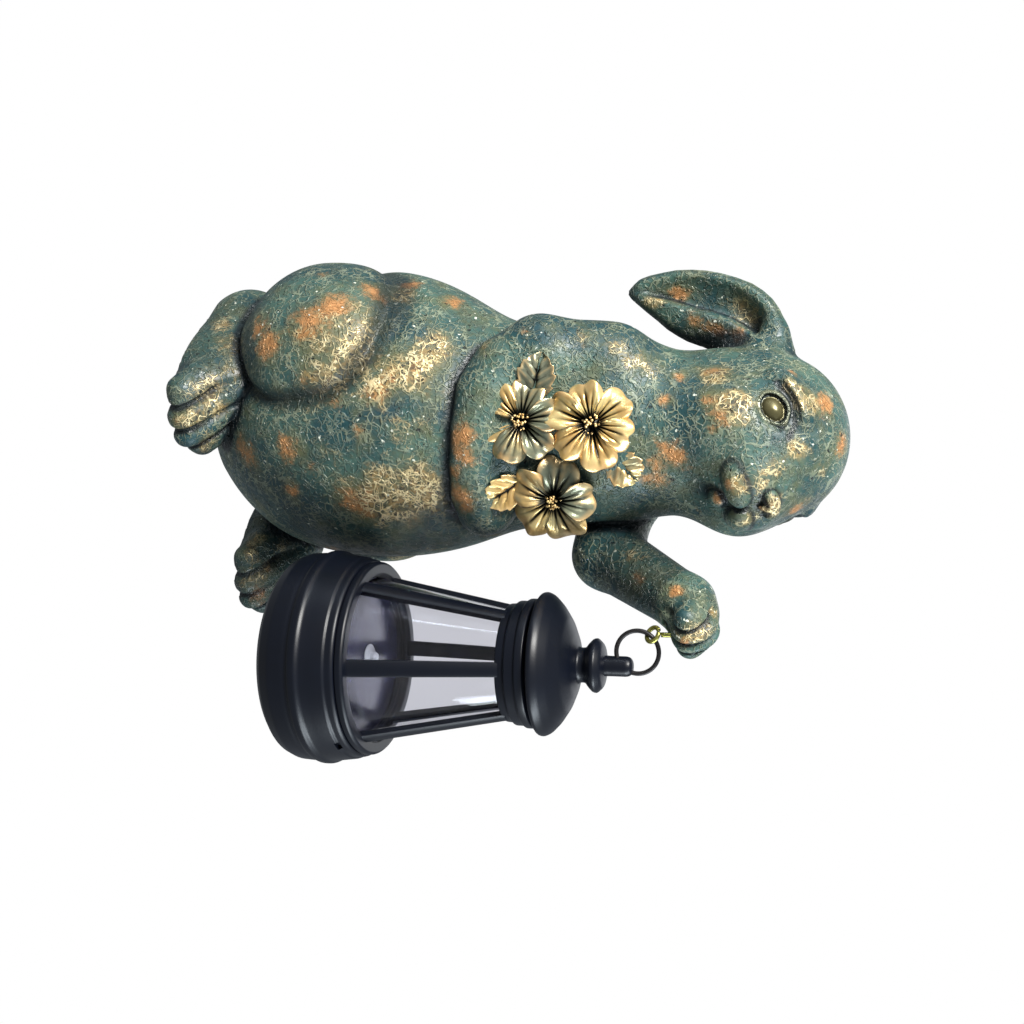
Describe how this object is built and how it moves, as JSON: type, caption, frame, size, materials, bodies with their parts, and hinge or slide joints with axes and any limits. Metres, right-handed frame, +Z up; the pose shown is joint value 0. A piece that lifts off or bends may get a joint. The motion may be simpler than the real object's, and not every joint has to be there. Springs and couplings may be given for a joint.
{
  "type": "solar rabbit garden statue",
  "caption": "Garden statue of a rabbit sitting up with flowers held at its chest and a small solar lantern hung from its raised paw.",
  "frame": {"origin": "bottom centre of the whole object's bounding box, on the floor", "axes": "+Z up; the rabbit's front faces -Y, its right side is toward -X; its raised left paw and the lantern are at +X, -Y"},
  "size_m": [0.178, 0.2404, 0.2985],
  "materials": {
    "patina_resin": "cast resin with a verdigris finish, dry-brushed in gold and copper",
    "brass_hook": "bright yellow brass",
    "black_wire": "black enamelled wire",
    "black_plastic": "satin black moulding",
    "black_plastic_cage": "satin black moulding",
    "clear_glass": "clear",
    "black_plastic_base": "satin black moulding",
    "solar_cell": "dark blue glossy cell",
    "clear_led": "clear dome over a pale reflector"
  },
  "bodies": {
    "root": {"rabbit_statue": "patina_resin", "paw_hook": "brass_hook", "hanging_ring": "black_wire", "lantern_roof": "black_plastic", "lantern_cage": "black_plastic_cage", "lantern_glass": "clear_glass", "lantern_base": "black_plastic_base", "solar_panel": "solar_cell", "led_lamp": "clear_led"}
  },
  "joints": []
}
